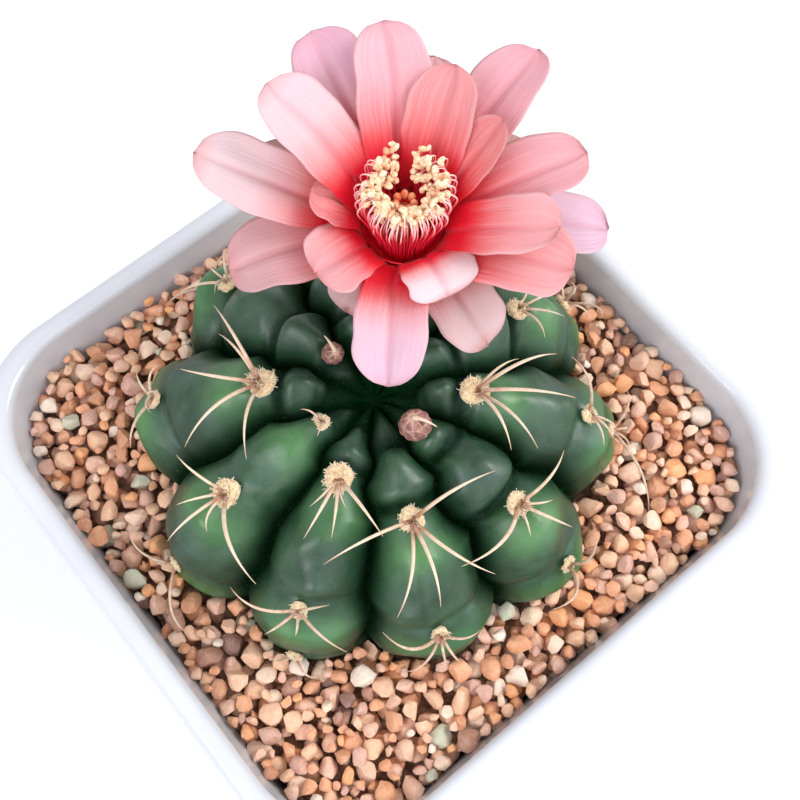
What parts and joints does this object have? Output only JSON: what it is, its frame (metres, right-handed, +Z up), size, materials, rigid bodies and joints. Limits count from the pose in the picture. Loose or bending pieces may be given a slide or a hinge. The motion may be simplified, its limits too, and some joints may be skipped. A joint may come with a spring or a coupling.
{
  "type": "potted round cactus in flower",
  "caption": "Round ribbed cactus with one open pink flower and small buds, growing in gravel in a white square pot with rounded corners.",
  "frame": {"origin": "on the ground under the middle of the pot", "axes": "+Z up; the pot's straight sides run along X and Y"},
  "size_m": [0.09, 0.09, 0.1154],
  "materials": {
    "pot_glaze": "smooth glossy white",
    "soil": "dark crumbly potting soil",
    "gravel": "mixed rounded grit, matt to satin",
    "stem_skin": "waxy dark green plant skin with a soft sheen",
    "wool_and_spines": "felted cream wool and horny tan spines",
    "bud_scales": "matt mauve-brown scales",
    "flower_tube_skin": "smooth fleshy skin",
    "tepal": "thin silky translucent pink petal",
    "stamens": "powdery cream anthers on crimson-white threads",
    "pistil": "matt orange stigma lobes"
  },
  "bodies": {
    "root": {"pot": "pot_glaze", "potting_soil": "soil", "gravel_bed": "gravel", "cactus_stem": "stem_skin", "bud_1": "bud_scales", "bud_2": "bud_scales", "flower_tube": "flower_tube_skin", "stamen_ring": "stamens", "pistil": "pistil", "areole_01": "wool_and_spines", "areole_02": "wool_and_spines", "areole_03": "wool_and_spines", "areole_04": "wool_and_spines", "areole_05": "wool_and_spines", "areole_06": "wool_and_spines", "areole_07": "wool_and_spines", "areole_08": "wool_and_spines", "areole_09": "wool_and_spines", "areole_10": "wool_and_spines", "areole_11": "wool_and_spines", "areole_12": "wool_and_spines", "areole_13": "wool_and_spines", "areole_14": "wool_and_spines", "areole_15": "wool_and_spines", "areole_16": "wool_and_spines", "areole_17": "wool_and_spines", "areole_18": "wool_and_spines", "areole_19": "wool_and_spines", "areole_20": "wool_and_spines", "areole_21": "wool_and_spines", "areole_22": "wool_and_spines", "areole_23": "wool_and_spines", "tepal_01": "tepal", "tepal_02": "tepal", "tepal_03": "tepal", "tepal_04": "tepal", "tepal_05": "tepal", "tepal_06": "tepal", "tepal_07": "tepal", "tepal_08": "tepal", "tepal_09": "tepal", "tepal_10": "tepal", "tepal_11": "tepal", "tepal_12": "tepal", "tepal_13": "tepal", "tepal_14": "tepal", "tepal_15": "tepal", "tepal_16": "tepal", "tepal_17": "tepal", "tepal_18": "tepal", "tepal_19": "tepal", "tepal_20": "tepal", "tepal_21": "tepal"}
  },
  "joints": []
}
